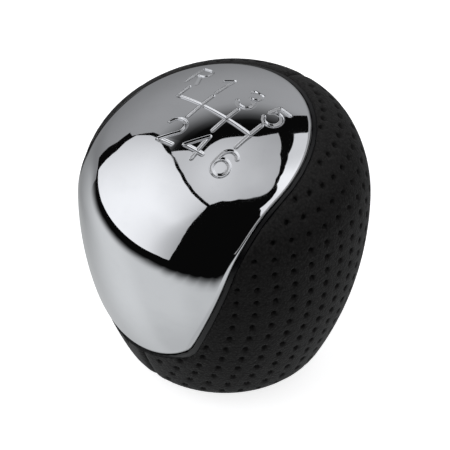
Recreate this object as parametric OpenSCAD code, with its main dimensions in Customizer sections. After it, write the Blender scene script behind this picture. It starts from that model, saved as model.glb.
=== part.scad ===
// Gear shift knob: a leaning ball-topped grip in perforated leather, with a plated cap
// whose tongue runs down the side that faces the driver.
// +X is the driver's right, +Y is forwards, +Z is up. The origin is the centre of the base.

/* [Grip] */
// Width of the knob across its waist
body_w = 52; // [50:0.5:54]
// Height of the waist above the underside of the leather
waist_h = 34.8; // [33.6:0.2:36]
// Lean of the crown towards the driver, in degrees
crown_lean = 13; // [11:0.5:14]
// Radius of the shoulder between waist and crown
shoulder_r = 12; // [11:0.25:12.5]
// Radius of the shallow crown
crown_r = 44; // [42:0.5:47]
// Radius of the flank between waist and base
flank_r = 69; // [66:0.5:74]
// Rounding of the lower edge
base_round = 8; // [7:0.25:8.5]

/* [Cap outline] */
// Radius of the outline's round upper end
cap_top_r = 19.3; // [18.8:0.1:19.8]
// Height of that radius' centre above the waist, in the cap's own plane
cap_top_w = 3.5; // [2.5:0.25:4.5]
// Radius of the outline's long sides, where they draw in
cap_side_r = 42; // [40:0.5:46]
// Height at which the sides start to draw in, below the waist
cap_side_drop = 2.6; // [2:0.2:3.4]
// Radius of the tongue's lower end
cap_tip_r = 17; // [16:0.25:17.25]
// Reach of the tongue below the waist
cap_tip_drop = 31.5; // [30.5:0.25:32]
// Radius of the tongue's corners
cap_corner_r = 6.5; // [5:0.25:7.5]

/* [Walls] */
// Thickness of the leather
leather_t = 1.2; // [1:0.1:1.4]
// Wall of the plated cap
cap_t = 1.8; // [1.6:0.1:2.2]
// Height of the plated cap above the leather
cap_proud = 0.4; // [0.2:0.05:0.6]
// Wall of the black frame under the cap
frame_t = 1.5; // [1.3:0.1:1.8]
// Width of the black edge round the cap
bezel_w = 0.55; // [0.45:0.05:1]

/* [Seams] */
// Depth of the leather that is turned in at a seam
seam_turn = 2.4; // [2:0.1:3]
// Length of a stitch
stitch_len = 3; // [2.5:0.25:4]
// Thickness of the sewing thread
thread_d = 0.6; // [0.4:0.05:0.7]

/* [Lever thread] */
// Radius of the thread's tapped hole, to the crests of an M10 x 1.25 thread
tap_r = 4.32; // [4.2:0.02:4.4]
// Length of the thread
tap_len = 18; // [15:0.5:19]
// Radius of the insert
insert_r = 7; // [6.5:0.1:7.6]
// Closed end of the insert above the thread
insert_end = 2; // [1.5:0.25:3]
// Height of the insert's mouth above the base
insert_z = 12; // [11:0.5:13]
// Depth and width of the insert's holding grooves
groove_w = 1.2; // [0.8:0.1:1.6]

/* [Base ring] */
// Radius of the ring's flange
ring_r = 11.4; // [11:0.1:11.7]
// Thickness of the flange
ring_t = 1; // [0.8:0.05:1.2]
// Height of the flange's face below the leather
ring_proud = 0.3; // [0.2:0.05:0.5]
// Radius of the ring's neck, which snaps into the moulding
neck_r = 8.8; // [8.5:0.1:9]
// Height of the neck
neck_h = 9; // [8:0.5:10]
// Radius of the passage for the lever's shank
shank_r = 6.5; // [6.3:0.1:6.8]
// Height of the bead that holds the neck
bead_r = 0.5; // [0.3:0.05:0.6]

/* [Cap fixings] */
// Radius of the bosses under the cap
boss_r = 2.6; // [2.4:0.1:3]
// Depth of a boss below the cap's face
boss_depth = 5.4; // [5:0.2:6]
// Radius of the screw's thread
screw_r = 1.1; // [1:0.05:1.3]
// Length of the screw under its head
screw_len = 4.4; // [4:0.1:4.8]
// Radius of the screw's head
head_r = 2.3; // [2.1:0.1:2.5]
// Height of the screw's head
head_h = 1.5; // [1.2:0.1:1.8]
// Width of the frame's hooks
hook_w = 6; // [5:0.25:7]
// Thickness of a hook's leg
hook_t = 1.6; // [1.4:0.1:1.8]
// Length of a hook below the frame's face
hook_len = 9; // [8.5:0.25:10]
// Reach of a hook's nose
nose = 0.7; // [0.5:0.05:0.9]

/* [Hidden] */
$fn = 96;
// Clearances: between moulded faces, round the cap's edge, and round hooks and screw heads
seat_gap = 0.1;
edge_gap = 0.1;
hook_gap = 0.3;
fit_gap = 0.03;
// Lap of one arc over the next in a profile, so that their solids cross cleanly
lap = 0.04;
waist_lap = 3;
band_over = 1;
// Cutting solids reach this far past the faces that they cut, or right through the knob
over = 1;
far = 3 * body_w;
// The cap is drawn, and pulls off, along a line halfway between up and rearwards
cap_tilt = 45;

grip_r = body_w / 2;
waist_z = ring_proud + waist_h;
band_a = crown_lean + band_over;
shoulder_c = (grip_r - shoulder_r) * polar(band_a);
crown_c = [0, shoulder_c[1] - sqrt(pow(crown_r - shoulder_r, 2) - pow(shoulder_c[0], 2))];
crown_a = atan2(shoulder_c[1] - crown_c[1], shoulder_c[0]);
flank_c = [grip_r - flank_r, 0];
base_c = [
    flank_c[0] + sqrt(pow(flank_r - base_round, 2) - pow(waist_h - base_round, 2)),
    base_round - waist_h];
base_a = atan2(base_c[1] - flank_c[1], base_c[0] - flank_c[0]);

// Depths below the leather's face
cap_in = cap_t - cap_proud;
frame_out = cap_in + seat_gap;
frame_in = frame_out + frame_t;
seat_in = frame_in + seat_gap;
// Distances of walls from the cap's outline
leather_edge = bezel_w + edge_gap;

function polar(a) = [cos(a), sin(a)];
function arc_points(c, r, a0, a1, n) = [for (i = [0 : n]) c + r * polar(a0 + (a1 - a0) * i / n)];
function tail(list) = [for (i = [1 : len(list) - 1]) list[i]];
function steps(r, a, pitch) = max(1, round(abs(a) * PI / 180 * r / pitch));

// The upper part, a solid of revolution about the leaning axis
module crown_half(inset) {
    intersection() {
        rotate([crown_lean, 0, 0])
            rotate_extrude() {
                intersection() {
                    circle(grip_r + lap - inset);
                    polygon([[0, 0], far * polar(band_a), [far, -far], [0, -far]]);
                }
                intersection() {
                    translate(shoulder_c) circle(shoulder_r + lap - inset);
                    translate([0, -far]) square([far, 2 * far]);
                }
                intersection() {
                    translate(crown_c) circle(crown_r - inset);
                    polygon([crown_c, crown_c + far * polar(crown_a), [0, far]]);
                }
            }
        translate([-far, -far, -waist_lap]) cube(2 * far);
    }
}

// The lower part, a solid of revolution about the upright axis
module flank_half(inset) {
    rotate_extrude()
        intersection() {
            union() {
                intersection() {
                    translate(flank_c) circle(flank_r - inset);
                    polygon([flank_c, flank_c + far * polar(base_a), [far, 0]]);
                }
                polygon([[0, -waist_h / 3], [0, inset - waist_h], [base_c[0], inset - waist_h], base_c]);
                translate(base_c) circle(base_round + lap - inset);
            }
            translate([0, inset - waist_h]) square([body_w, waist_h - inset]);
        }
}

// The grip's whole form, drawn in by inset from the leather's face
module grip(inset) {
    translate([0, 0, waist_z]) {
        crown_half(inset);
        flank_half(inset);
    }
}

// Right half of the cap's outline, from the tongue's tip up to the crown
side_c = [cap_top_r - cap_side_r, -cap_side_drop];
tip_c = [0, cap_tip_r - cap_tip_drop];
corner_c = meet(side_c, cap_side_r - cap_corner_r, tip_c, cap_tip_r - cap_corner_r);
tip_a = direction(corner_c - tip_c);
side_a = direction(corner_c - side_c);
outline_step = 3;

function direction(v) = atan2(v[1], v[0]);

// Lower right meeting point of two circles
function meet(c1, r1, c2, r2) =
    let (d = norm(c2 - c1), u = (c2 - c1) / d, t = (r1 * r1 - r2 * r2 + d * d) / (2 * d))
    c1 + t * u + sqrt(r1 * r1 - t * t) * [u[1], -u[0]];

function outline_arc(c, r, a0, a1, grow) = arc_points(c, r + grow, a0, a1, steps(r, a1 - a0, outline_step));

function half_outline(grow) = concat(
    outline_arc(tip_c, cap_tip_r, -90, tip_a, grow),
    tail(outline_arc(corner_c, cap_corner_r, tip_a, side_a, grow)),
    tail(outline_arc(side_c, cap_side_r, side_a, 0, grow)),
    outline_arc([0, cap_top_w], cap_top_r, 0, 90, grow));

module cap_outline(grow) {
    half = half_outline(grow);
    polygon(concat(half, [for (i = [len(half) - 2 : -1 : 1]) [-half[i][0], half[i][1]]]));
}

// Places its children in the cap's own frame: X across, Y up the cap, Z out of it
module cap_frame_of() {
    translate([0, 0, waist_z])
        rotate([cap_tilt, 0, 0])
            children();
}

module cap_column(grow) {
    cap_frame_of()
        linear_extrude(far)
            cap_outline(grow);
}

// The waist's sphere and the crown's sphere, as heights out of the cap's plane
crown_w = crown_c[1] * sin(cap_tilt - crown_lean);
crown_v = crown_c[1] * cos(cap_tilt - crown_lean);
function face_v(x, w) = min(
    sqrt(pow(grip_r, 2) - x * x - w * w),
    crown_v + sqrt(pow(crown_r, 2) - x * x - pow(w - crown_w, 2)));

// Places of the cap's screws, in its own frame, inwards from the outline's two round ends
top_screw_in = [8.3, 8.5];
tip_screw_in = [9, 14.5];
top_screw = [cap_top_r - top_screw_in[0], cap_top_w + top_screw_in[1]];
tip_screw = [cap_tip_r - tip_screw_in[0], tip_screw_in[1] - cap_tip_drop];
screw_xw = [for (p = [top_screw, tip_screw], s = [-1, 1]) [s * p[0], p[1]]];
screws = [0 : len(screw_xw) - 1];
cup_wall = 1.4;
cup_floor = 1.6;
pilot_len = 3.2;
head_taper = 0.8;

// Bottom face of a boss
function boss_v(i) = face_v(screw_xw[i][0], screw_xw[i][1]) - boss_depth;

// A cup's wall has flat sides, which clear a circle of radius r
cup_sides = 12;
module cup_form(r, h) {
    cylinder(r = r / cos(180 / cup_sides), h = h, $fn = cup_sides);
}

module at_screw(i) {
    cap_frame_of()
        translate([screw_xw[i][0], screw_xw[i][1], boss_v(i)])
            children();
}

// Hooks of the frame: place in the cap's frame, height of the face there, and turn
hook_inset = 2.6;
side_hook_x = cap_top_r - hook_inset;
side_hook_w = 1;
top_hook_w = cap_top_w + cap_top_r - hook_inset;
hooks = [
    [side_hook_x, side_hook_w, face_v(side_hook_x, side_hook_w), 0],
    [-side_hook_x, side_hook_w, face_v(side_hook_x, side_hook_w), 180],
    [0, top_hook_w, face_v(0, top_hook_w), 90]
];

module at_hook(h) {
    cap_frame_of()
        translate([h[0], h[1], h[2]])
            rotate([0, 0, h[3]])
                children();
}

// A hook's leg and nose, grown by gap to make its slot
module hook(gap) {
    leg = hook_len + gap;
    translate([-hook_t / 2 - gap, -hook_w / 2 - gap, -leg]) cube([hook_t + 2 * gap, hook_w + 2 * gap, leg]);
    rotate([90, 0, 0])
        linear_extrude(hook_w + 2 * gap, center = true)
            polygon([
                [0, -leg],
                [-hook_t / 2 - gap, -leg],
                [-hook_t / 2 - nose - gap, nose + gap - hook_len],
                [-hook_t / 2 - nose - gap, 2 * nose + gap - hook_len],
                [0, 2 * nose + gap - hook_len]]);
}

// Seams: points of the thread's line, in the plane that halves the knob
thread_in = leather_t + seam_turn / 2;
thread_r = thread_d / 2;
leg_r = thread_r * 4 / 5;
side_x = leather_t + thread_r;
// The seam's first stitch on the lower rounding, and its ends below the tongue and on the shoulder
seam_start_a = -60;
tongue_a = asin(-flank_c[0] * sin(cap_tilt) / flank_r) - cap_tilt;
rear_top_a = tongue_a - 0.2;
front_foot_a = band_a + 8;
front_top_a = crown_a - 14;

function lower_line(a_top) = concat(
    arc_points(base_c, base_round - thread_in, seam_start_a, base_a,
        steps(base_round - thread_in, base_a - seam_start_a, stitch_len)),
    tail(arc_points(flank_c, flank_r - thread_in, base_a, a_top,
        steps(flank_r, a_top - base_a, stitch_len))));

// Forward of the leaning axis, in the upright plane
function leaned(p) = [
    p[0] * cos(crown_lean) - p[1] * sin(crown_lean),
    p[1] * cos(crown_lean) + p[0] * sin(crown_lean)];

function front_line() = concat(
    lower_line(0),
    [for (p = arc_points(shoulder_c, shoulder_r - thread_in, front_foot_a, front_top_a,
        steps(shoulder_r - thread_in, front_top_a - front_foot_a, stitch_len))) leaned(p)]);
function rear_line() = [for (p = lower_line(rear_top_a)) [-p[0], p[1]]];

// Sewing through both turned edges: each stitch is a leg with a bar on either side
module stitch_legs(line, gap) {
    translate([0, 0, waist_z])
        for (p = line)
            translate([0, p[0], p[1]])
                rotate([0, 90, 0])
                    cylinder(r = leg_r + gap, h = 2 * side_x, center = true);
}

module stitch_bars(line) {
    translate([0, 0, waist_z])
        for (i = [1 : len(line) - 1], x = [-side_x, side_x])
            translate([x, line[i][0], line[i][1]])
                rotate([direction(line[i] - line[i - 1]) - 90, 0, 0])
                    cylinder(r = thread_r, h = stitch_len - 3 * thread_d, center = true);
}

// The turned-in edges of both panels, as one slab
module turned_edges(gap) {
    intersection() {
        difference() {
            grip(leather_t - fit_gap);
            grip(leather_t + seam_turn + gap);
        }
        translate([-side_x - thread_r - gap, -far, ring_t])
            cube([2 * (side_x + thread_r + gap), 2 * far, far]);
    }
}

// Hem of the leather under the base, held by the ring's flange
hem_r = neck_r + 0.5;
hem_z = ring_t;
hem_top = hem_z + leather_t;
hem_out = base_c[0] + 0.8;

// Outer form of the insert, with its holding grooves
insert_h = tap_len + insert_end;
lead_in = 0.8;

module insert_form(grow) {
    rotate_extrude()
        polygon([
            [0, insert_z],
            [insert_r + grow, insert_z],
            [insert_r + grow, insert_z + insert_h / 3 - groove_w],
            [insert_r - groove_w + grow, insert_z + insert_h / 3],
            [insert_r - groove_w + grow, insert_z + insert_h / 3 + groove_w],
            [insert_r + grow, insert_z + insert_h / 3 + 2 * groove_w],
            [insert_r + grow, insert_z + 2 * insert_h / 3 - groove_w],
            [insert_r - groove_w + grow, insert_z + 2 * insert_h / 3],
            [insert_r - groove_w + grow, insert_z + 2 * insert_h / 3 + groove_w],
            [insert_r + grow, insert_z + 2 * insert_h / 3 + 2 * groove_w],
            [insert_r + grow, insert_z + insert_h + grow],
            [0, insert_z + insert_h + grow]]);
}

// Outer form of the ring's neck, with the bead that snaps into the moulding
bead_z = neck_h - 4 * bead_r;
module neck_form(grow) {
    rotate_extrude()
        polygon([
            [0, 0],
            [neck_r + grow, 0],
            [neck_r + grow, bead_z - 2 * bead_r - grow],
            [neck_r + bead_r + grow, bead_z - bead_r],
            [neck_r + bead_r + grow, bead_z],
            [neck_r + grow, bead_z + 2 * bead_r],
            [neck_r + grow, neck_h + grow],
            [0, neck_h + grow]]);
}

module core() {
    color("dimgray")
        difference() {
            union() {
                grip(seat_in);
                difference() {
                    grip(leather_t);
                    cap_column(leather_edge);
                }
            }
            difference() {
                turned_edges(hook_gap / 2);
                cap_column(leather_edge);
            }
            translate([0, 0, hem_top + fit_gap - far]) cylinder(r = hem_out + fit_gap, h = far);
            neck_form(fit_gap);
            translate([0, 0, neck_h - over]) cylinder(r = shank_r, h = insert_z - neck_h + 2 * over);
            insert_form(fit_gap);
            for (i = screws)
                at_screw(i)
                    translate([0, 0, -cup_floor - head_h - hook_gap])
                        cup_form(boss_r + cup_wall + hook_gap, far);
            for (h = hooks) at_hook(h) hook(hook_gap);
        }
}

module thread_insert() {
    color("goldenrod")
        difference() {
            insert_form(0);
            translate([0, 0, insert_z - over]) cylinder(r = tap_r, h = tap_len + over);
            translate([0, 0, insert_z]) cylinder(r1 = tap_r + lead_in, r2 = tap_r, h = lead_in);
        }
}

// One panel of the cover, on the side that s points to; the panels meet at the seam
module leather_side(s) {
    difference() {
        union() {
            difference() {
                grip(0);
                grip(leather_t);
                cap_column(leather_edge);
                translate([0, 0, hem_z - far]) cylinder(r = ring_r + edge_gap, h = far);
            }
            translate([0, 0, hem_z]) cylinder(r = hem_out, h = leather_t);
            intersection() {
                difference() {
                    grip(leather_t / 2);
                    grip(leather_t + seam_turn);
                    cap_column(leather_edge);
                }
                translate([-side_x + thread_r, -far, hem_top]) cube([2 * (side_x - thread_r), 2 * far, far]);
            }
        }
        translate([0, 0, -over]) cylinder(r = hem_r, h = waist_h);
        stitch_legs(front_line(), fit_gap);
        stitch_legs(rear_line(), fit_gap);
        translate([s > 0 ? -far : 0, -far, -over]) cube([far, 2 * far, far]);
    }
}

module leather_left() {
    color("#2b2b2d") leather_side(-1);
}

module leather_right() {
    color("#2b2b2d") leather_side(1);
}

module front_seam_thread() {
    color("#1c1c1e") {
        stitch_legs(tail(front_line()), 0);
        stitch_bars(front_line());
    }
}

module rear_seam_thread() {
    color("#1c1c1e") {
        stitch_legs(tail(rear_line()), 0);
        stitch_bars(rear_line());
    }
}

module chrome_cap() {
    color("#c9ccd0")
        difference() {
            union() {
                intersection() {
                    difference() {
                        grip(-cap_proud);
                        grip(cap_in);
                    }
                    cap_column(0);
                }
                intersection() {
                    grip(cap_in / 2);
                    for (i = screws)
                        at_screw(i) cylinder(r = boss_r, h = far);
                }
            }
            for (i = screws)
                at_screw(i) translate([0, 0, -over]) cylinder(r = screw_r, h = pilot_len + over);
        }
}

module cap_frame() {
    color("#18181a")
        difference() {
            union() {
                intersection() {
                    difference() {
                        grip(seat_gap);
                        grip(frame_in);
                    }
                    cap_column(bezel_w);
                }
                intersection() {
                    grip((frame_out + frame_in) / 2);
                    union() {
                        for (i = screws)
                            at_screw(i)
                                translate([0, 0, -cup_floor])
                                    cup_form(boss_r + cup_wall, far);
                        for (h = hooks) at_hook(h) hook(0);
                    }
                }
            }
            intersection() {
                difference() {
                    grip(-cap_proud);
                    grip(frame_out);
                }
                cap_column(edge_gap);
            }
            for (i = screws)
                at_screw(i) {
                    cup_form(boss_r + seat_gap, far);
                    translate([0, 0, -cup_floor - over])
                        cylinder(r = screw_r + seat_gap, h = cup_floor + 2 * over);
                }
        }
}

// A pan-head self-tapping screw, driven into its boss from behind
module cap_screw(i) {
    color("#8d9096")
        at_screw(i)
            translate([0, 0, -cup_floor]) {
                translate([0, 0, -head_h]) cylinder(r1 = head_taper * head_r, r2 = head_r, h = head_h);
                cylinder(r = screw_r - fit_gap, h = screw_len);
            }
}

module cap_screw_1() {
    cap_screw(0);
}

module cap_screw_2() {
    cap_screw(1);
}

module cap_screw_3() {
    cap_screw(2);
}

module cap_screw_4() {
    cap_screw(3);
}

module base_ring() {
    color("#1e1e20")
        difference() {
            union() {
                cylinder(r = ring_r, h = ring_t);
                neck_form(0);
            }
            translate([0, 0, -over]) cylinder(r = shank_r, h = neck_h + 2 * over);
        }
}

core();
thread_insert();
leather_left();
leather_right();
front_seam_thread();
rear_seam_thread();
chrome_cap();
cap_frame();
cap_screw_1();
cap_screw_2();
cap_screw_3();
cap_screw_4();
base_ring();
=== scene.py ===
# %% [markdown]
# # A gear shift knob in leather and chrome
# The knob is a ball-topped grip that leans towards the driver. Black perforated leather covers it in two
# panels, and a chrome-plated cap with the gate engraved on it lies in the crown and runs down as a tongue.
# The CAD model is loaded first. Every piece below is made in its frame, in metres, so none is fitted later.

# %% Load the frame
import math
import bpy
import numpy as np
from mathutils import Matrix, Vector
from mathutils.geometry import delaunay_2d_cdt


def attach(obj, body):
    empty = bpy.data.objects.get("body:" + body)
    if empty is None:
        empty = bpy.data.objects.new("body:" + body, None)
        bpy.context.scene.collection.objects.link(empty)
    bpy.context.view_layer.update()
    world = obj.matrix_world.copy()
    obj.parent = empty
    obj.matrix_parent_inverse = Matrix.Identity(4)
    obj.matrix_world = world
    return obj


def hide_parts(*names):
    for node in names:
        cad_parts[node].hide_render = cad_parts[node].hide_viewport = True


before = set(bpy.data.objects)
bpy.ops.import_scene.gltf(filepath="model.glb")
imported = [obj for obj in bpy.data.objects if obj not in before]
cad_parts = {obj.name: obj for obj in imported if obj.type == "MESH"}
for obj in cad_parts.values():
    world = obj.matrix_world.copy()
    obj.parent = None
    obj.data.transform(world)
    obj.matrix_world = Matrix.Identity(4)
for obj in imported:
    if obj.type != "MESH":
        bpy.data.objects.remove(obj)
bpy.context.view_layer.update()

MM = 0.001

# %% [markdown]
# ## The grip's form
# The grip is two solids of revolution that share one sphere at the waist. Above it, a shoulder of small
# radius and a shallow crown turn about an axis that leans towards the driver. Below it, a long flank and a
# rounded base turn about the upright axis. Seen from the waist's centre every direction meets the skin once,
# so one function that gives the distance to the skin is enough to lay any pattern on it, at any depth.

# %% Sizes of the grip, in millimetres
GRIP_R, LEAN = 26.0, math.radians(13)
SHOULDER_R, CROWN_R, FLANK_R, BASE_R = 12.0, 44.0, 69.0, 8.0
WAIST_H, FOOT = 34.8, 0.3
WAIST = np.array([0.0, 0.0, WAIST_H + FOOT])
AXIS = np.array([0.0, -math.sin(LEAN), math.cos(LEAN)])
BAND_A = math.radians(14)
SHOULDER_C = (GRIP_R - SHOULDER_R) * np.array([math.cos(BAND_A), math.sin(BAND_A)])
CROWN_C = np.array([0.0, SHOULDER_C[1] - math.sqrt((CROWN_R - SHOULDER_R) ** 2 - SHOULDER_C[0] ** 2)])
CROWN_A = math.atan2(SHOULDER_C[1] - CROWN_C[1], SHOULDER_C[0])
FLANK_C = np.array([GRIP_R - FLANK_R, 0.0])
BASE_OUT = math.sqrt((FLANK_R - BASE_R) ** 2 - (WAIST_H - BASE_R) ** 2)
BASE_C = np.array([FLANK_C[0] + BASE_OUT, BASE_R - WAIST_H])
BASE_A = math.atan2(BASE_C[1], BASE_C[0] - FLANK_C[0])


def reach(a, centre, radius):
    """Distance along a ray at angle a to the far side of a circle."""
    along = centre[0] * np.cos(a) + centre[1] * np.sin(a)
    return along + np.sqrt(np.maximum(radius ** 2 - centre @ centre + along ** 2, 0))


def skin(d, h):
    """Points on the grip in unit directions d from the waist's centre, h mm above the leather's face."""
    d = np.asarray(d, float)
    h = np.zeros(len(d)) + h
    a = np.arcsin(np.clip(d @ AXIS, -1, 1))
    shoulder = reach(a, SHOULDER_C, SHOULDER_R + h)
    turned = np.arctan2(shoulder * np.sin(a) - SHOULDER_C[1], shoulder * np.cos(a) - SHOULDER_C[0])
    upper = np.where(turned < CROWN_A, shoulder, reach(a, CROWN_C, CROWN_R + h))
    upper = np.where(a < BAND_A, GRIP_R + h, upper)
    b = np.arcsin(np.clip(d[:, 2], -1, 1))
    flank = reach(b, FLANK_C, FLANK_R + h)
    turned = np.arctan2(flank * np.sin(b), flank * np.cos(b) - FLANK_C[0])
    lower = np.where(turned > BASE_A, flank, reach(b, BASE_C, BASE_R + h))
    flat = (lower * np.cos(b) < BASE_C[0]) | (lower * np.sin(b) < -WAIST_H - h)
    lower = np.where(flat & (b < -0.3), (WAIST_H + h) / np.maximum(-np.sin(b), 1e-6), lower)
    return WAIST + d * np.where(d[:, 2] >= 0, upper, lower)[:, None]


def unit(v):
    return v / np.linalg.norm(v, axis=-1, keepdims=True)


def toward(lon, lat):
    """Unit directions from longitude and latitude in radians; longitude 0 is +X."""
    return np.stack([np.cos(lat) * np.cos(lon), np.cos(lat) * np.sin(lon), np.sin(lat)], -1)


print("grip: %.1f mm wide, waist at %.1f mm" % (2 * GRIP_R, WAIST[2]))

# %% [markdown]
# ## The cap's outline
# The cap is cut by one outline, drawn in a plane that leans halfway between up and rearwards: a round head,
# long sides that draw in, and a tongue with rounded corners. The same outline, grown a little, gives the
# black edge and the cut edge of the leather, so the three always fit each other.

# %% Outline of the cap, in its own plane
CAP_X = np.array([1.0, 0.0, 0.0])
CAP_W = np.array([0.0, math.sqrt(0.5), math.sqrt(0.5)])
CAP_V = np.array([0.0, -math.sqrt(0.5), math.sqrt(0.5)])
HEAD_R, HEAD_W, SIDE_R, SIDE_DROP = 19.3, 3.5, 42.0, 2.6
TIP_R, TIP_DROP, CORNER_R = 17.0, 31.5, 6.5
CAP_PROUD, CAP_T, EDGE_W, EDGE_GAP, LEATHER_T = 0.4, 1.8, 0.55, 0.1, 1.2
SIDE_C, TIP_C = np.array([HEAD_R - SIDE_R, -SIDE_DROP]), np.array([0.0, TIP_R - TIP_DROP])


def crossing(c1, r1, c2, r2):
    """Lower right crossing of two circles."""
    d = np.linalg.norm(c2 - c1)
    u = (c2 - c1) / d
    t = (r1 * r1 - r2 * r2 + d * d) / (2 * d)
    return c1 + t * u + math.sqrt(r1 * r1 - t * t) * np.array([u[1], -u[0]])


def arc(c, r, a0, a1, step):
    n = max(2, int(abs(a1 - a0) * r / step))
    a = np.linspace(a0, a1, n, endpoint=False)
    return np.asarray(c) + r * np.stack([np.cos(a), np.sin(a)], 1)


CORNER_C = crossing(SIDE_C, SIDE_R - CORNER_R, TIP_C, TIP_R - CORNER_R)
TIP_A = math.atan2(*(CORNER_C - TIP_C)[::-1])
SIDE_A = math.atan2(*(CORNER_C - SIDE_C)[::-1])


def half_outline(grow, step=0.2):
    """Right half of the outline from the tongue's tip to the top of the head, grown by grow."""
    return np.concatenate([
        arc(TIP_C, TIP_R + grow, -math.pi / 2, TIP_A, step),
        arc(CORNER_C, CORNER_R + grow, TIP_A, SIDE_A, step),
        arc(SIDE_C, SIDE_R + grow, SIDE_A, 0, step), [[HEAD_R + grow, -SIDE_DROP / 2]],
        arc([0, HEAD_W], HEAD_R + grow, 0, math.pi / 2, step), [[0, HEAD_W + HEAD_R + grow]]])


def on_cap(xw, h):
    """Points of the skin straight out of the cap's plane at (x, w), h mm above the leather's face."""
    base = xw[:, :1] * CAP_X + xw[:, 1:2] * CAP_W
    lo, hi = np.zeros(len(xw)), np.full(len(xw), 60.0)
    for _ in range(34):
        v = (lo + hi) / 2
        p = base + v[:, None] * CAP_V
        inside = np.linalg.norm(p, axis=1) < np.linalg.norm(skin(unit(p), h) - WAIST, axis=1)
        lo, hi = np.where(inside, v, lo), np.where(inside, hi, v)
    return WAIST + base + lo[:, None] * CAP_V


line = half_outline(0)
spans = (len(line), 2 * line[:, 0].max(), np.ptp(line[:, 1]))
print("cap outline: %d points, %.1f mm wide, %.1f mm long" % spans)

# %% [markdown]
# ## Shader expressions
# Finishes are written as sums. A small class wraps an output socket, so that adding or multiplying two of
# them makes the Math node by itself, and one method makes any other node from its settings and inputs.

# %% A finish and its values


class Value:
    """An output socket in a finish, with the operators that the finishes use."""

    def __init__(self, finish, socket):
        self.finish, self.socket = finish, socket

    def math(self, operation, *others):
        return self.finish.node("ShaderNodeMath", {"operation": operation}, [self, *others])

    def flipped(self, operation, other):
        return self.finish.node("ShaderNodeMath", {"operation": operation}, [other, self])

    def __add__(self, other):
        return self.math("ADD", other)

    def __sub__(self, other):
        return self.math("SUBTRACT", other)

    def __mul__(self, other):
        return self.math("MULTIPLY", other)

    def __radd__(self, other):
        return self.flipped("ADD", other)

    def __rsub__(self, other):
        return self.flipped("SUBTRACT", other)

    def clamp(self):
        return self.math("MAXIMUM", 0).math("MINIMUM", 1)

    def smooth(self, low, high):
        """0 below low, 1 above high, with a smooth rise between."""
        return self.finish.node("ShaderNodeMapRange", {"interpolation_type": "SMOOTHSTEP"},
                                {"Value": self, "From Min": low, "From Max": high})


class Finish:
    """A material that is built by its own node method and set on the shader's sockets."""

    def __init__(self, name, **sockets):
        self.material = bpy.data.materials.new(name)
        self.material.use_nodes = True
        self.tree = self.material.node_tree
        self.shader = self.tree.nodes["Principled BSDF"]
        self.place = self.node("ShaderNodeTexCoord", out="Object")
        self.set(**sockets)

    def node(self, kind, settings=None, inputs=None, out=0):
        n = self.tree.nodes.new(kind)
        for key, value in (settings or {}).items():
            setattr(n, key, value)
        pairs = inputs.items() if isinstance(inputs, dict) else enumerate(inputs or [])
        for key, value in pairs:
            self.join(value, n.inputs[key])
        return Value(self, n.outputs[out])

    def join(self, value, socket):
        if isinstance(value, Value):
            self.tree.links.new(value.socket, socket)
        else:
            socket.default_value = value

    def set(self, **sockets):
        for key, value in sockets.items():
            self.join(value, self.shader.inputs[key.replace("_", " ").replace("Ior", "IOR")])

    def noise(self, scale, detail=2.0, roughness=0.5):
        return self.node("ShaderNodeTexNoise", None,
                         {"Vector": self.place, "Scale": scale, "Detail": detail, "Roughness": roughness})

    def mix(self, factor, a, b):
        return self.node("ShaderNodeMix", {"data_type": "RGBA"}, {0: factor, 6: (*a, 1), 7: (*b, 1)}, 2)

    def bump(self, height, distance, strength=1.0):
        self.set(Normal=self.node("ShaderNodeBump", None,
                                  {"Height": height, "Distance": distance, "Strength": strength}))


print("shader helpers ready")

# %% [markdown]
# ## Chrome
# Decorative chrome is a mirror that returns about six tenths of the light, very slightly blue. It has almost
# no texture, so its colour and roughness change only a little from place to place, as on wiped plating.

# %% Chrome
chrome = Finish("bright_chrome", Metallic=1.0)
haze = chrome.noise(260, 3).smooth(0.45, 0.75)
chrome.set(Base_Color=chrome.mix(haze, (0.60, 0.605, 0.62), (0.585, 0.59, 0.605)),
           Roughness=haze * 0.02 + 0.025)
print(chrome.material.name)

# %% [markdown]
# ## Leather
# Steering-wheel leather is a corrected grain: pebbles about half a millimetre across under a satin coat. The
# grain is two cell patterns of different size, bent by a noise so that no row shows. It drives the bump, a
# small change of gloss, and a colour that stays close to black, a little greyer on the pebbles' tops.

# %% Leather
leather = Finish("black_leather")
wander = leather.node("ShaderNodeVectorMath", {"operation": "SCALE"},
                      {0: leather.node("ShaderNodeTexNoise", None,
                                       {"Vector": leather.place, "Scale": 900.0, "Detail": 2.0}, "Color"),
                       "Scale": 0.0005})
bent = leather.node("ShaderNodeVectorMath", {"operation": "ADD"}, [leather.place, wander])
pebble = leather.node("ShaderNodeTexVoronoi", {"feature": "SMOOTH_F1"},
                      {"Vector": bent, "Scale": 2100.0, "Smoothness": 0.6})
fine = leather.node("ShaderNodeTexVoronoi", {"feature": "SMOOTH_F1"},
                    {"Vector": bent, "Scale": 4300.0, "Smoothness": 0.5})
grain = 1 - (pebble * 0.75 + fine * 0.35)
patch = leather.noise(120, 3)
PIT_COLOUR, TOP_COLOUR = (0.0166, 0.0160, 0.0158), (0.0420, 0.0408, 0.0402)
leather.set(Base_Color=leather.mix((grain * 1.2 - 0.2).clamp(), PIT_COLOUR, TOP_COLOUR),
            Roughness=0.50 + patch * 0.12 - grain * 0.12, Specular_Ior_Level=0.09)
leather.bump(grain + patch, 0.00018, 0.75)
print(leather.material.name)

# %% [markdown]
# ## The mouldings and the metals
# The black edge round the cap is polished moulding, the core and the ring are spark-eroded moulding with a
# fine matt texture, the insert is brass, the screws are zinc-plated steel and the seams are twisted thread.

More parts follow.
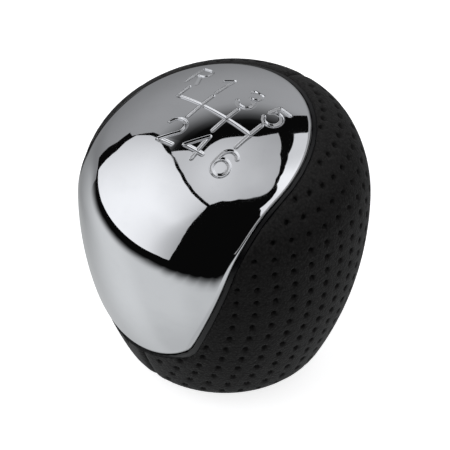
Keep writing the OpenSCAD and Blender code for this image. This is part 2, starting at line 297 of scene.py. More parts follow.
# %% Mouldings, metals and thread
gloss = Finish("black_gloss_moulding", Base_Color=(0.003, 0.003, 0.004, 1), Specular_Ior_Level=0.3)
gloss.set(Roughness=gloss.noise(700, 2) * 0.08 + 0.25)
matt = Finish("textured_moulding", Specular_Ior_Level=0.4)
spark = matt.noise(5200, 3)
matt.set(Base_Color=matt.mix(spark, (0.020, 0.020, 0.021), (0.034, 0.034, 0.035)),
         Roughness=spark * 0.2 + 0.48)
matt.bump(spark, 0.00004, 0.8)
ring_finish = Finish("ring_moulding", Specular_Ior_Level=0.45)
spark = ring_finish.noise(4200, 3)
ring_finish.set(Base_Color=ring_finish.mix(spark, (0.012, 0.012, 0.013), (0.022, 0.022, 0.023)),
                Roughness=spark * 0.2 + 0.36)
ring_finish.bump(spark, 0.00003, 0.7)
brass = Finish("turned_brass", Metallic=1.0)
tarnish = brass.noise(600, 4)
brass.set(Base_Color=brass.mix(tarnish, (0.62, 0.46, 0.20), (0.80, 0.62, 0.30)),
          Roughness=tarnish * 0.2 + 0.22)
steel = Finish("zinc_steel", Metallic=1.0)
bloom = steel.noise(1800, 3)
steel.set(Base_Color=steel.mix(bloom, (0.45, 0.46, 0.48), (0.62, 0.63, 0.65)),
          Roughness=bloom * 0.15 + 0.28)
sewing = Finish("sewing_thread", Roughness=0.65)
twist = sewing.node("ShaderNodeTexWave", {"bands_direction": "DIAGONAL"},
                    {"Vector": sewing.place, "Scale": 900.0})
sewing.set(Base_Color=sewing.mix(twist, (0.008, 0.008, 0.009), (0.022, 0.022, 0.024)))
sewing.bump(twist, 0.00005, 0.8)
print("six finishes")

# %% [markdown]
# ## Helpers for the meshes
# A piece starts from a primitive and is shaped in edit mode. Operators act on what is selected, so everything
# is deselected first. The cap, its lip and the base ring each grow from a loop that is extruded ring by ring.
# Each ring keeps its number as its depth in whole units until the points are laid in their final place.

# %% Mesh helpers


def fresh(add, **options):
    """A new primitive, the only thing selected, named later by its maker."""
    bpy.ops.object.select_all(action="DESELECT")
    add(**options)
    return bpy.context.active_object


def rings_down(count):
    """In edit mode: extrudes the selected loop count times, one unit down each time."""
    for _ in range(count):
        bpy.ops.mesh.extrude_region_move(TRANSFORM_OT_translate={"value": (0, 0, -1)})


def points_of(o):
    co = np.empty(len(o.data.vertices) * 3)
    o.data.vertices.foreach_get("co", co)
    return co.reshape(-1, 3)


def place(o, points):
    """Gives the mesh its final points, in millimetres."""
    o.data.vertices.foreach_set("co", (np.asarray(points) * MM).ravel())
    o.data.update()


def done(o, name, finish, slot_name, *nodes):
    """Names a finished piece, gives it its finish and lets it ride and stand for its nodes."""
    o.name = o.data.name = name
    o.data.materials.clear()
    o.data.materials.append(finish.material)
    bpy.ops.object.select_all(action="DESELECT")
    o.select_set(True)
    bpy.context.view_layer.objects.active = o
    bpy.ops.object.shade_smooth()
    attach(o, "root")
    if nodes:
        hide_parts(*nodes)
    print("%s: %d faces" % (name, len(o.data.polygons)))


def outward(o):
    """Turns all faces of a closed mesh outwards."""
    bpy.ops.object.select_all(action="DESELECT")
    o.select_set(True)
    bpy.context.view_layer.objects.active = o
    bpy.ops.object.mode_set(mode="EDIT")
    bpy.ops.mesh.select_all(action="SELECT")
    bpy.ops.mesh.normals_make_consistent(inside=False)
    bpy.ops.object.mode_set(mode="OBJECT")


print("mesh helpers ready")

# %% [markdown]
# ## The gate
# The gate and its numbers are moulded into the cap before it is plated. They are drawn in plan as strokes,
# and every point of the cap near a stroke is sunk into a groove with a narrow floor and rounded walls.
# Geometry gives the dark walls and bright floors of the real grooves, which a bump on a mirror only suggests.

# %% Strokes of the gate, in plan


def bow(cx, cy, rx, ry, a0, a1, n=14):
    return [(cx + rx * math.cos(math.radians(a)), cy + ry * math.sin(math.radians(a)))
            for a in np.linspace(a0, a1, n)]


GATE_Y, GATE_TOP, GATE_LOW = -2.45, 0.5, -5.85
GATE_X = {"R": -9.45, "1": -3.57, "3": 2.4, "5": 8.03}
strokes = [[(GATE_X["R"], GATE_TOP), (GATE_X["R"], GATE_Y), (GATE_X["5"], GATE_Y)]]
strokes += [[(GATE_X[k], GATE_LOW), (GATE_X[k], GATE_TOP)] for k in "135"]
GLYPHS = {
    "R": [[(-11.4, 1.7), (-11.5, 6.4)] + bow(-10.2, 5.2, 1.4, 1.2, 90, -90) + [(-11.45, 4.0)],
          [(-10.0, 4.0), (-8.8, 1.7)]],
    "1": [[(-5.2, 5.0), (-3.6, 6.2), (-3.75, 1.4)]],
    "2": [bow(-3.95, -8.45, 1.75, 1.65, 170, -25) + [(-4.95, -11.85), (-1.85, -11.75)]],
    "3": [bow(2.15, 5.2, 1.25, 1.1, 160, -90), bow(2.15, 2.75, 1.6, 1.35, 90, -155)],
    "4": [[(3.3, -12.05), (2.93, -7.15), (0.3, -10.7), (4.3, -10.45)]],
    "5": [[(9.5, 6.1), (7.3, 6.0), (6.9, 3.9)] + bow(8.25, 3.1, 1.6, 1.7, 140, -155)],
    "6": [bow(8.65, -8.6, 1.55, 1.75, 40, 180, 12) + [(7.1, -10.4)],
          bow(8.62, -10.42, 1.52, 1.52, 0, 360, 28)],
}
for glyph in GLYPHS.values():
    strokes += glyph
FLOOR_W, GROOVE_W, GROOVE_DEEP = 0.08, 0.43, 0.24


def groove(xy):
    """Depth of the engraving at points in plan."""
    far = np.full(len(xy), 9.0)
    for stroke in strokes:
        for a, b in zip(stroke[:-1], stroke[1:]):
            a, b = np.array(a), np.array(b)
            t = np.clip((xy - a) @ (b - a) / ((b - a) @ (b - a)), 0, 1)
            far = np.minimum(far, np.linalg.norm(xy - a - t[:, None] * (b - a), axis=1))
    t = np.clip((GROOVE_W - far) / (GROOVE_W - FLOOR_W), 0, 1)
    return GROOVE_DEEP * t * t * (3 - 2 * t)


print("gate: %d strokes" % len(strokes))

# %% [markdown]
# ## The chrome cap
# The cap starts as a flat grid as fine as the engraving. Its edge loop is extruded ring by ring: first out to
# the cap's outline, then round the edge, down the wall and back inside to close the shell. The points are
# then laid on the skin through the outline, so that the mirror is as smooth as the form itself.

# %% Chrome cap
PLATE_X, PLATE_LOW, PLATE_TOP, PITCH = 12.3, 1.2, 18.0, 0.088
OUT_RINGS, IN_RINGS = 16, 7
EDGE = [(-0.20, 0.0), (-0.14, -0.008), (-0.09, -0.025), (-0.05, -0.055), (-0.02, -0.09),
        (-0.005, -0.14), (0.0, -0.20)]
nx, ny = int(2 * PLATE_X / PITCH), int((PLATE_TOP - PLATE_LOW) / PITCH)
cap = fresh(bpy.ops.mesh.primitive_grid_add, x_subdivisions=nx, y_subdivisions=ny, size=2)
bpy.ops.object.mode_set(mode="EDIT")
bpy.ops.mesh.select_all(action="SELECT")
bpy.ops.mesh.region_to_loop()
rings_down(OUT_RINGS + len(EDGE) + IN_RINGS)
bpy.ops.mesh.merge(type="CENTER")
bpy.ops.object.mode_set(mode="OBJECT")

flat = points_of(cap)
level = np.rint(-flat[:, 2]).astype(int)
plate_c = np.array([0.0, (PLATE_TOP + PLATE_LOW) / 2])
plate = flat[:, :2] * [PLATE_X, (PLATE_TOP - PLATE_LOW) / 2] + plate_c
full = half_outline(0.0, 0.05)
full = np.concatenate([full, (full * [-1, 1])[-2:0:-1]])
step = np.roll(full, -1, 0) - np.roll(full, 1, 0)
normal = unit(np.stack([step[:, 1], -step[:, 0]], 1))
angle = np.arctan2(*(full - plate_c).T[::-1])
order = np.argsort(angle)
ask = np.arctan2(*(plate - plate_c).T[::-1])


def around(values):
    """Values along the outline, looked up in the direction of each point of the plate."""
    turn = 2 * math.pi
    return np.stack([np.interp(ask, angle[order], values[order, k], period=turn) for k in (0, 1)], 1)


rim, rim_n = around(full), unit(around(normal))
xw, height = plate.copy(), np.full(len(flat), CAP_PROUD)
for k in range(1, OUT_RINGS + 1):
    on = level == k
    share = (k / OUT_RINGS) ** 1.15
    xw[on] = plate[on] * (1 - share) + (rim + rim_n * EDGE[0][0])[on] * share
for k, (grow, drop) in enumerate(EDGE, OUT_RINGS):
    on = level == k
    xw[on], height[on] = (rim + rim_n * grow)[on], CAP_PROUD + drop
for k in range(IN_RINGS + 1):
    on = level == OUT_RINGS + len(EDGE) + k
    share = (k / IN_RINGS) ** 0.8
    xw[on], height[on] = rim[on] * (1 - share) + plate_c * share, CAP_PROUD - CAP_T
middle = np.argmax(level)
xw[middle], height[middle] = plate_c, CAP_PROUD - CAP_T
points = on_cap(xw, height)
engraved = level == 0
deep = groove(points[engraved][:, :2])
points[engraved] = on_cap(xw[engraved], CAP_PROUD - deep)
place(cap, points)
outward(cap)
done(cap, "plated_cap", chrome, "chrome", "chrome_cap")
print("levels", level.max(), "deepest %.2f mm" % deep.max())

# %% [markdown]
# ## The black edge
# Between the chrome and the leather a gloss-black lip of the frame shows as a thin line. It is a closed
# sleeve round the outline with a low rounded top, over the plain step that the frame's own solid has there.

# %% Black edge round the cap


def loop_sleeve(count, levels):
    """A tube of rings round a loop of points, closed on itself; a ring's number is its height below zero."""
    o = fresh(bpy.ops.mesh.primitive_circle_add, vertices=count, radius=1)
    bpy.ops.object.mode_set(mode="EDIT")
    bpy.ops.mesh.select_all(action="SELECT")
    rings_down(levels - 1)
    bpy.ops.mesh.select_mode(type="EDGE")
    bpy.ops.mesh.select_all(action="DESELECT")
    bpy.ops.mesh.select_non_manifold()
    bpy.ops.mesh.bridge_edge_loops()
    bpy.ops.mesh.select_mode(type="VERT")
    bpy.ops.object.mode_set(mode="OBJECT")
    flat = points_of(o)
    return o, (np.arctan2(flat[:, 1], flat[:, 0]) / (2 * math.pi)) % 1, np.rint(-flat[:, 2]).astype(int)


LIP = [(0.03, -1.0), (0.03, -0.22), (0.06, -0.15), (0.12, -0.10), (0.21, -0.08), (0.32, -0.08), (0.42, -0.12),
       (0.49, -0.18), (0.53, -0.26), (0.55, -0.36), (0.55, -1.0)]
lip, share, level = loop_sleeve(480, len(LIP))
length = np.concatenate([[0], np.cumsum(np.linalg.norm(np.diff(full, axis=0, append=full[:1]), axis=1))])
at = share * length[-1]
loop = [np.stack([np.interp(at, length, np.append(v[:, k], v[0, k])) for k in (0, 1)], 1)
        for v in (full, normal)]
profile = np.array(LIP)
place(lip, on_cap(loop[0] + unit(loop[1]) * profile[level, :1], profile[level, 1]))
outward(lip)
done(lip, "cap_edge_lip", gloss, "black_gloss")

# %% [markdown]
# ## Leather panels
# Perforated leather is punched flat and then stretched over the grip, so its holes keep their rows while the
# columns drift with the form. Each row is a length along the skin up from the waist, and each column a length
# round it, with a little drift towards the crown, the rear and the foot.

# %% Rows and columns of the holes
ROW, COLUMN, FIRST_ROW, FIRST_COLUMN, MIDDLE = 3.0, 3.5, 0.45, -1.4, math.radians(7.8)
ROW_DRAW, REAR_RISE, CROWN_DRIFT, FOOT_DRIFT, UPPER_R = 0.045, 0.25, 0.08, 0.06, 25.2
HOLE_R, RIM_R, DENT_R, HOLE_DEEP, SEAM_MARGIN, EDGE_MARGIN = 0.47, 0.68, 0.98, 0.85, 3.3, 0.9
FIRST_GUESS_R = 25.0  # starts a column's longitude; the loop below corrects it
LEATHER_EDGE = EDGE_W + EDGE_GAP
edge_line = half_outline(LEATHER_EDGE, 0.4)
edge_points = on_cap(edge_line, 0)
lats = np.radians(np.linspace(-72, 78, 900))


def from_edge(points):
    """Distance in space from the leather's cut edge, on either side of the knob."""
    q = points.copy()
    q[:, 0] = np.abs(q[:, 0])
    near = np.full(len(q), 99.0)
    for a, b in zip(edge_points[:-1], edge_points[1:]):
        t = np.clip((q - a) @ (b - a) / ((b - a) @ (b - a)), 0, 1)
        near = np.minimum(near, np.linalg.norm(q - a - t[:, None] * (b - a), axis=1))
    return near


def covered(points):
    """True where the cap or its black edge lies over a point."""
    q = points - WAIST
    x, w = np.abs(q[:, 0]), q @ CAP_W
    width = np.interp(w, edge_line[:, 1], edge_line[:, 0], left=0, right=0)
    return (q @ CAP_V > 0) & (x < width)


def meridian(lon, lengths):
    """Latitudes at the given lengths up from the waist along the skin at a longitude."""
    p = skin(toward(np.full(len(lats), lon), lats), 0)
    run = np.concatenate([[0], np.cumsum(np.linalg.norm(np.diff(p, axis=0), axis=1))])
    return np.interp(lengths, run - np.interp(0, lats, run), lats)


centres = []
for row in range(-12, 11):
    for column in range(-16, 18):
        s = FIRST_ROW + ROW * row + ROW_DRAW * max(row, 0) ** 2 + REAR_RISE * max(-3 - column, 0)
        u = FIRST_COLUMN + COLUMN * column - CROWN_DRIFT * max(s - 7, 0) + FOOT_DRIFT * max(-18 - s, 0)
        lon = MIDDLE + u / FIRST_GUESS_R
        for _ in range(4):
            lat = meridian(lon, [s])[0]
            p = skin(toward(np.array([lon]), np.array([lat])), 0)[0]
            lon = MIDDLE + u / (UPPER_R if s > 0 else math.hypot(p[0], p[1]))
        if abs(lon) < math.pi / 2 and p[0] > SEAM_MARGIN:
            centres.append(p)
centres = np.array(centres)
centres = centres[(from_edge(centres) > EDGE_MARGIN) & ~covered(centres)]
print("holes in one panel:", len(centres))

# %% [markdown]
# ## The sheet, laid out flat
# The sheet is drawn as longitude and latitude: its cut edges with guide lines beside them, rings of points
# round every hole and a lattice of plain points. All of them are triangulated together, which no grid of
# faces could follow.

# %% Flat layout of the right panel


def flat_of(points):
    d = unit(points - WAIST)
    return GRIP_R * np.stack([np.arctan2(d[:, 1], d[:, 0]), np.arcsin(np.clip(d[:, 2], -1, 1))], 1)


def wrap(flat, h):
    return skin(toward(flat[:, 0] / GRIP_R, flat[:, 1] / GRIP_R), h)


HEM_R, LATTICE_U, LATTICE_V = 11.5, 1.1, 0.95
CLEAR_EDGE, CLEAR_SEAM, CLEAR_HOLE = 1.4, 1.8, 1.25
QUARTER = GRIP_R * math.pi / 2
foot = GRIP_R * math.atan2(-WAIST_H, HEM_R)
cut = flat_of(on_cap(edge_line, 0))
cut[0, 0], cut[-1, 0] = -QUARTER, QUARTER
hem = np.stack([np.linspace(QUARTER, -QUARTER, 90), np.full(90, foot)], 1)
rear = np.stack([np.full(60, -QUARTER), np.linspace(foot, cut[0, 1], 60)], 1)[1:-1]
front = np.stack([np.full(110, QUARTER), np.linspace(cut[-1, 1], foot, 110)], 1)[1:-1]
border = np.concatenate([hem, rear, cut, front])
guides = [flat_of(on_cap(half_outline(LEATHER_EDGE + g, 0.4)[1:-1], 0)) for g in (0.08, 0.2, 0.4, 0.7)]
for gap in (0.12, 0.3, 0.6, 1.0, 1.5):
    for side, line in ((1, rear), (-1, front)):
        p = wrap(line, 0)
        shift = side * GRIP_R * gap / np.hypot(p[:, 0], p[:, 1])
        guides.append(np.stack([line[:, 0] + shift, line[:, 1]], 1)[2:-2])
rings = []
for c in centres:
    out = unit(skin(unit(c - WAIST)[None], 1)[0] - c)
    across = unit(np.cross([0, 0, 1], out))
    along = np.cross(out, across)
    for r in (DENT_R, RIM_R, HOLE_R + 0.05, HOLE_R - 0.03):
        a = np.linspace(0, 2 * math.pi, 12, endpoint=False)
        rings.append(flat_of(c + r * (np.cos(a)[:, None] * across + np.sin(a)[:, None] * along)))
gx, gy = np.meshgrid(np.arange(-QUARTER + 0.6, QUARTER, LATTICE_U),
                     np.arange(foot + 0.5, 1.6 * GRIP_R, LATTICE_V))
gx[::2] += LATTICE_U / 2
lattice = np.stack([gx.ravel(), gy.ravel()], 1)
p = wrap(lattice, 0)
keep = ~covered(p) & (from_edge(p) > CLEAR_EDGE) & (np.abs(p[:, 0]) > CLEAR_SEAM)
keep &= np.array([np.linalg.norm(centres - q, axis=1).min() > CLEAR_HOLE for q in p])
lattice = lattice[keep]
print("flat layout: %d border points, %d rings, %d lattice points" % (len(border), len(rings), len(lattice)))

# %% [markdown]
# ## The sheet, wrapped round the grip
# Near an edge, a seam or a hole the points of the face sink below the grip's face, as leather does where it
# is rolled in or punched. A coarser back and a strip along the cut edge close the sheet.

# %% The sheet, its back and its cut edge


def inside(points, outline):
    """True for the points of a plane that lie within a closed outline."""
    x, y = points.T
    within = np.zeros(len(points), bool)
    for (x0, y0), (x1, y1) in zip(outline, np.roll(outline, -1, 0)):
        if y0 != y1:
            within ^= ((y0 > y) != (y1 > y)) & (x < x0 + (y - y0) * (x1 - x0) / (y1 - y0))
    return within


def filled(closed, lines, closed_rings, loose):
    """Triangles of the flat sheet inside its border, through every line and point given."""
    points, edges, start = [], [], 0
    chains = [(closed, True)] + [(c, False) for c in lines] + [(c, True) for c in closed_rings]
    for chain, is_closed in chains:
        n = len(chain)
        points.append(chain)
        edges += [(start + k, start + (k + 1) % n) for k in range(n if is_closed else n - 1)]
        start += n
    points = np.concatenate(points + [loose])
    made = delaunay_2d_cdt([Vector(q) for q in points], edges, [], 1, 1e-4, True)
    flat, faces, origin = np.array([tuple(v) for v in made[0]]), np.array(made[2]), made[3]
    faces = faces[inside(flat[faces].mean(1), closed)].tolist()
    where = {k: i for i, ids in enumerate(origin) for k in ids}
    return flat, faces, [where[k] for k in range(len(closed))]


def sunk(points):
    """How far the leather's face lies below the grip's face: rolled at its edges, punched at its holes."""
    def roll(d, width, depth):
        t = np.clip(1 - d / width, 0, 1)
        return depth * (1 - np.sqrt(1 - t * t))
    hole = np.array([np.linalg.norm(centres - q, axis=1).min() for q in points])
    punched = np.interp(hole, [HOLE_R - 0.02, HOLE_R + 0.04, RIM_R, DENT_R], [HOLE_DEEP, 0.20, 0.07, 0])
    return roll(from_edge(points), 0.75, 0.8) + roll(np.abs(points[:, 0]), 1.5, 0.85) + punched


face_flat, face_tris, face_rim = filled(border, guides, rings, lattice)
back_flat, back_tris, back_rim = filled(border, [], [], lattice[::6])
face_base = wrap(face_flat, 0)
face_points = wrap(face_flat, -np.minimum(sunk(face_base), LEATHER_T - 0.15))
back_points = wrap(back_flat, -LEATHER_T)
n = len(face_points)
sheet = [tuple(t) for t in face_tris] + [tuple(n + k for k in reversed(t)) for t in back_tris]
m = len(border)
sheet += [(face_rim[k], face_rim[(k + 1) % m], n + back_rim[(k + 1) % m], n + back_rim[k]) for k in range(m)]
all_points = np.concatenate([face_points, back_points])
for name, mirror, node in (("leather_panel_right", 1, "leather_right"),
                           ("leather_panel_left", -1, "leather_left")):
    mesh = bpy.data.meshes.new(name)
    mesh.from_pydata([tuple(q) for q in all_points * [mirror, 1, 1] * MM], [], sheet)
    panel = bpy.data.objects.new(name, mesh)
    bpy.context.scene.collection.objects.link(panel)
    outward(panel)
    done(panel, name, leather, "leather", node)
print("leather face: %d points" % n)

# %% [markdown]
# ## The base ring
# The ring that holds the leather's hem is turned here as a closed profile with softened edges, because light
# catches them when the knob is turned over. The snap bead and the neck are those of the CAD node.

# %% Base ring
RING = [(6.5, 0.35), (6.8, 0.0), (11.05, 0.0), (11.3, 0.08), (11.4, 0.3), (11.4, 1.0), (8.8, 1.0), (8.8, 6.0),
        (9.3, 6.5), (9.3, 7.0), (8.8, 8.0), (8.8, 8.8), (8.6, 9.0), (6.7, 9.0), (6.5, 8.8)]
ring, share, level = loop_sleeve(160, len(RING))
profile = np.array(RING)[level]
turn = 2 * math.pi * share
place(ring, np.stack([profile[:, 0] * np.cos(turn), profile[:, 0] * np.sin(turn), profile[:, 1]], 1))
outward(ring)
done(ring, "hem_ring", ring_finish, "ring", "base_ring")
bpy.ops.object.shade_smooth_by_angle(angle=math.radians(28))

# %% [markdown]
# ## The lever's thread
# The insert has an M10 thread of 1.25 mm pitch. Its ridge is a triangle wound up the bore by the Screw
# modifier, which is how a thread is cut: one profile, one pitch, as many turns as it takes.

# %% Thread in the insert
BORE_R, CREST_R, HALF_RIDGE, THREAD_PITCH, THREAD_LOW, TURNS = 4.62, 4.32, 0.45, 1.25, 13.0, 13
ridge = fresh(bpy.ops.mesh.primitive_circle_add, vertices=3, radius=1)
place(ridge, [(CREST_R, 0, THREAD_LOW), (BORE_R, 0, THREAD_LOW + HALF_RIDGE),
              (BORE_R, 0, THREAD_LOW - HALF_RIDGE)])
screw = ridge.modifiers.new("turns", "SCREW")
screw.axis, screw.screw_offset, screw.iterations = "Z", THREAD_PITCH * MM, TURNS
screw.steps = screw.render_steps = 40
bpy.ops.object.modifier_apply(modifier="turns")
bpy.ops.object.mode_set(mode="EDIT")
bpy.ops.mesh.select_all(action="SELECT")
bpy.ops.mesh.fill_holes(sides=3)
bpy.ops.object.mode_set(mode="OBJECT")
outward(ridge)
done(ridge, "lever_thread_ridge", brass, "brass")
bpy.ops.object.shade_smooth_by_angle(angle=math.radians(35))

# %% [markdown]
# ## CAD nodes that stay
# The core, the frame, the insert, the screws and the sewing thread are right as they are and keep their
# meshes. They only get their finishes.

# %% Finishes of the CAD nodes
KEPT = {"core": matt, "thread_insert": brass, "front_seam_thread": sewing, "rear_seam_thread": sewing,
        "cap_frame": gloss, "cap_screw_1": steel, "cap_screw_2": steel, "cap_screw_3": steel,
        "cap_screw_4": steel}
for node, finish in KEPT.items():
    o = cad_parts[node]
    o.data.materials.clear()
    o.data.materials.append(finish.material)
print("finished nodes:", ", ".join(KEPT))

# %% [markdown]
# ## The studio
# A mirror shows the room, so the room is part of the look. The knob stands on a white table in a grey room,
# lit by a soft box on the camera's left, one high on its right and a diffuser overhead, with black cloth
# between them. Each card's outline is given as azimuth and elevation seen from the knob, so it lands where
# the chrome shows it. The outlines were picked on a map of what the photographed chrome mirrors.

# %% Light cards


def glow_material(name, colour):
    """Plain light of one colour; the mesh's tone is its strength and the mesh's veil its opacity."""
    m = bpy.data.materials.new(name)
    m.use_nodes = True
    t = m.node_tree
    t.nodes.clear()
    out, mixer = t.nodes.new("ShaderNodeOutputMaterial"), t.nodes.new("ShaderNodeMixShader")
    light, clear = t.nodes.new("ShaderNodeEmission"), t.nodes.new("ShaderNodeBsdfTransparent")
    tone, veil = t.nodes.new("ShaderNodeAttribute"), t.nodes.new("ShaderNodeAttribute")
    tone.attribute_name, veil.attribute_name = "tone", "veil"
    light.inputs["Color"].default_value = (*colour, 1)
    t.links.new(tone.outputs["Fac"], light.inputs["Strength"])
    t.links.new(veil.outputs["Fac"], mixer.inputs[0])
    t.links.new(clear.outputs[0], mixer.inputs[1])
    t.links.new(light.outputs[0], mixer.inputs[2])
    t.links.new(mixer.outputs[0], out.inputs[0])
    return m


def card(name, outline, distance, colour, tone=None, veil=None, grain=3.0):
    """A card seen from the knob through an outline of (azimuth, elevation) in degrees, from +X towards +Y.

    tone and veil give brightness and opacity from azimuth, elevation and the distance to the outline."""
    outline = np.array(outline, float)
    dense = []
    for a, b in zip(outline, np.roll(outline, -1, 0)):
        count = max(1, int(np.linalg.norm(b - a) / grain))
        dense += [a + (b - a) * k / count for k in range(count)]
    dense = np.array(dense)
    lo, hi = dense.min(0), dense.max(0)
    gx, gy = np.meshgrid(np.arange(lo[0], hi[0], grain), np.arange(lo[1], hi[1], grain))
    loose = np.stack([gx.ravel(), gy.ravel()], 1)

    def edge_distance(points):
        near = np.full(len(points), 1e3)
        for a, b in zip(outline, np.roll(outline, -1, 0)):
            t = np.clip((points - a) @ (b - a) / ((b - a) @ (b - a)), 0, 1)
            near = np.minimum(near, np.linalg.norm(points - a - t[:, None] * (b - a), axis=1))
        return near

    loose = loose[(edge_distance(loose) > grain * 0.4) & inside(loose, outline)]
    flat, tris, _ = filled(dense, [], [], loose)
    mesh = bpy.data.meshes.new(name)
    points = toward(np.radians(flat[:, 0]), np.radians(flat[:, 1])) * distance + WAIST * MM
    mesh.from_pydata([tuple(q) for q in points], [], tris)
    for key, rule in (("tone", tone), ("veil", veil)):
        values = rule(flat[:, 0], flat[:, 1], edge_distance(flat)) if rule else 1.0
        mesh.attributes.new(key, "FLOAT", "POINT").data.foreach_set("value", np.zeros(len(flat)) + values)
    mesh.materials.append(glow_material(name, colour))
    o = bpy.data.objects.new(name, mesh)
    bpy.context.scene.collection.objects.link(o)
    o.visible_camera = False
    return o


def rise(x, low, high):
    """0 below low, 1 above high, with a smooth rise between."""
    t = np.clip((x - low) / (high - low), 0, 1)
    return t * t * (3 - 2 * t)


SIDE_BOX = [(178, 32), (178, 39), (179, 42), (183, 47), (189, 52), (195, 56), (200, 58), (210, 61.5),
            (225, 64.5), (245, 67), (259.5, 68), (266, 57.5), (271, 47.5), (274.5, 35), (276, 20),
            (275.5, 7.5), (272.5, -12), (260, -9), (245, -6), (225, -1.5), (210, 2), (200, 6), (192, 10),
            (189.5, 19), (187.5, 23.5), (185, 27), (181, 29)]
CAMERA_CLOTH = [(259.5, 69), (266, 73), (270, 74.5), (280, 76), (295, 78.5), (310, 79), (330, 79.5),
                (367.5, 78.5), (405, 78), (430, 75), (450, 71), (461, 65.5), (470, 61), (475, 52.5),
                (464.5, 42.5), (452.5, 50), (430, 55), (405, 60.5), (375, 59.5), (352.5, 54), (340, 47.5),
                (330, 32.5), (324, 15), (319, 4), (312.5, -17.5), (307, -30), (295, -29), (275, -25),
                (260, -20.5), (245, -17.5), (232.5, -14), (220, -9.5), (210, -6), (202.5, -1.5), (195, 4),
                (190, 9), (187.5, 15), (220, 40)]
BOX_GAP = [(178, 30), (176, 39), (177, 42.5), (180.5, 48), (187, 53), (195, 57), (200, 59.5), (210, 63),
           (225, 66), (245, 68.5), (259.5, 69.5), (267.5, 60), (220, 27.5), (195, 7.5), (185, 10),
           (183, 17.5), (180, 24.5), (176, 27.5)]
# Outline of a painted shadow band on the wall beside the side box.
WALL_SHADOW_BAND = [(109.5, 62), (116, 65), (122.5, 67), (132.5, 67.5), (145, 67), (157.5, 66), (170, 66),
              (180, 66.5), (183, 62.5), (188.5, 52.5), (182.5, 45), (179, 40), (177, 33), (160, 36),
              (145, 40), (107.5, 40)]
REAR_BOX = [(-24, 66), (-10, 70.5), (7.5, 74.5), (32.5, 77), (50, 76), (70, 72.5), (85, 68), (100, 57.5),
            (94, 50), (70, 57.5), (45, 62.5), (15, 61), (-5, 57.5), (-20, 51)]
DOOR = [(152.5, 5), (157.5, 7), (161, 6), (165, 0), (169, -5), (171, -10), (172, -15), (170, -20),
        (166, -27.5), (162.5, -30), (155, -30), (152.5, -10)]
OVERHEAD = [(178, 46), (262, 46), (262, 60), (448, 60), (448, 89.9), (88, 89.9), (88, 60), (178, 60)]
TABLE_EDGE = [(88, -14), (150, -14), (165, -10), (178, 2), (190, 8), (195, 4), (202.5, -1.5), (210, -6),
              (220, -9.5), (232.5, -14), (245, -17.5), (260, -20.5), (275, -25), (295, -29), (307, -30),
              (330, -16), (448, -14)]
GREY_WALL = [(88, -40), (195, -40), (195, 62), (88, 62)]
DARK_FLOOR = [(88, -89.9), (448, -89.9), (448, 5), (195, 5), (195, -40), (88, -40)]
BLACK, COOL, TABLE_WHITE = (0.004, 0.004, 0.004), (0.97, 0.98, 1.0), (0.97, 0.99, 1.0)


def ceiling_tone(a, e, d):
    """Brightest on the camera's left, even at the zenith, and dimmer low down."""
    lamp = 0.33 * np.clip(np.cos(np.radians((a - 212) / 1.3)), 0, 1) ** 2
    even = rise(e, 76, 89)
    return (0.69 + lamp * (1 - even) + 0.14 * even) * (1 - 0.18 * (1 - rise(e, 60, 76)))


def side_tone(a, e, d):
    """Brightest in the middle, where its lamp is."""
    return 1.5 - 0.40 * ((a - 225) / 38) ** 2 - 0.30 * rise(e, 44, 66) - 0.20 * rise(a, 254, 268)


def wall_tone(a, e, d):
    """Darker towards the floor, a little lighter at its end on the camera's right."""
    return 0.31 + 0.18 * rise(e, 2, 34) + 0.05 * (1 - rise(a, 108, 130))


def glow_tone(a, e, d):
    """Brightest on the camera's left, dimmer straight down and beyond the knob near the horizon."""
    tone = 0.66 + 0.32 * rise(a, 165, 222) - 0.08 * rise(a, 225, 245) - 0.08 * rise(a, 270, 295)
    return tone * (1 - 0.2 * rise(-e, 48, 66)) * (1 - 0.45 * (1 - rise(a, 165, 215)) * (1 - rise(-e, 28, 50)))


def rear_tone(a, e, d):
    """Brightest between azimuth 30 and 50."""
    return 1.2 + 0.25 * rise(a, 0, 30) - 0.45 * rise(a, 50, 84)


def glow_veil(a, e, d):
    """The table's edge fades out; straight down it is whole."""
    return np.where(e < -60, 1, rise(d, 0, 13))


def door_veil(a, e, d):
    """The door's edge is soft."""
    return rise(d, 0, 3)


def band_veil(a, e, d):
    """The painted shadow band's lower part fades into the wall; its edge towards the ceiling is sharp."""
    low = 43 - 3 * rise(a, 150, 178)
    return rise(e, low, low + 15)


card("grey_wall", GREY_WALL, 1.45, COOL, wall_tone, grain=6)
card("overhead_diffuser", OVERHEAD, 1.40, COOL, ceiling_tone, grain=5)
card("dark_floor", DARK_FLOOR, 1.46, BLACK, grain=6)
glow_outline = TABLE_EDGE + [(448, -89.9), (88, -89.9)]
glow = card("table_glow", glow_outline, 1.42, TABLE_WHITE, glow_tone, glow_veil)
glow.visible_diffuse = False
# Painted shadow on the wall by the side box: a black band behind the box and its gap, whose lower part fades
# into the grey wall.
card("wall_shadow_band", WALL_SHADOW_BAND, 1.30, BLACK, veil=band_veil)
card("camera_cloth", CAMERA_CLOTH, 1.25, BLACK)
card("box_gap", BOX_GAP, 1.20, BLACK)
card("door", DOOR, 1.20, BLACK, veil=door_veil, grain=1.5)
card("side_box", SIDE_BOX, 1.10, COOL, side_tone)
card("rear_box", REAR_BOX, 1.10, COOL, rear_tone)
world = bpy.data.worlds.new("grey_room")
bpy.context.scene.world = world
world.use_nodes = True
world.node_tree.nodes["Background"].inputs[0].default_value = (0.49, 0.49, 0.495, 1)
print("ten cards")

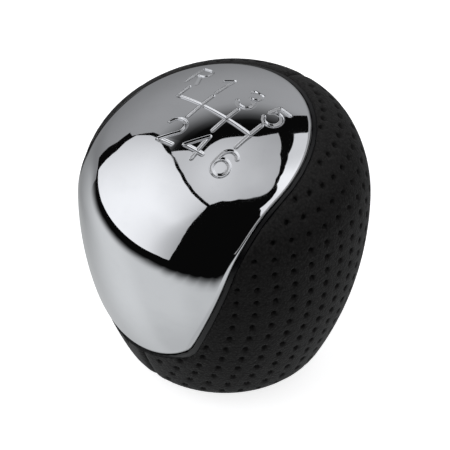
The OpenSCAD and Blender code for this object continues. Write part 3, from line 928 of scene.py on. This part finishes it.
# %% [markdown]
# ## Table
# The table the camera sees is one plain white plane. It lies a hair below the knob's foot, so that the two
# faces never share a plane. Mirrors see the cards dark_floor and table_glow instead.

# %% Table
TABLE_DROP = 0.02
table = fresh(bpy.ops.mesh.primitive_plane_add, size=8, location=(0, 0, -TABLE_DROP * MM))
table.name = "table"
m = bpy.data.materials.new("white_table")
m.use_nodes = True
t = m.node_tree
shader = t.nodes["Principled BSDF"]
shader.inputs["Base Color"].default_value = (0.85, 0.85, 0.86, 1)
shader.inputs["Roughness"].default_value = 0.9
shader.inputs["Emission Color"].default_value = (1, 1, 1, 1)
shader.inputs["Emission Strength"].default_value = 0.80
table.data.materials.append(m)
table.visible_glossy = table.visible_diffuse = False
print("table")

# %% [markdown]
# ## Camera
# The photograph looks down on the knob from its rear right. The camera stands half a metre away on that line,
# with a long lens, and leans by less than half a degree, as the photograph does.

# %% Camera
AZIMUTH, ELEVATION, ROLL = math.radians(43.49), math.radians(37.80), math.radians(0.43)
DISTANCE, TARGET, LENS = 500.0, np.array([0.0, 0.0, 27.8]), 221.4
back = np.array([math.sin(AZIMUTH) * math.cos(ELEVATION), -math.cos(AZIMUTH) * math.cos(ELEVATION),
                 math.sin(ELEVATION)])
level_right = np.array([math.cos(AZIMUTH), math.sin(AZIMUTH), 0])
level_up = np.cross(back, level_right)
right = level_right * math.cos(ROLL) + level_up * math.sin(ROLL)
upward = level_up * math.cos(ROLL) - level_right * math.sin(ROLL)
lens = bpy.data.cameras.new("camera")
lens.lens, lens.sensor_width, lens.clip_start, lens.clip_end = LENS, 36, 0.01, 20
lens.shift_x, lens.shift_y = -0.00033, -0.00147
camera = bpy.data.objects.new("camera", lens)
camera.matrix_world = Matrix.Translation(Vector((TARGET + back * DISTANCE) * MM)) @ Matrix(
    [[right[k], upward[k], back[k]] for k in range(3)]).to_4x4()
bpy.context.scene.collection.objects.link(camera)
bpy.context.scene.camera = camera
bpy.context.scene.view_settings.view_transform = "Standard"
print("camera at", [round(v, 3) for v in camera.location])
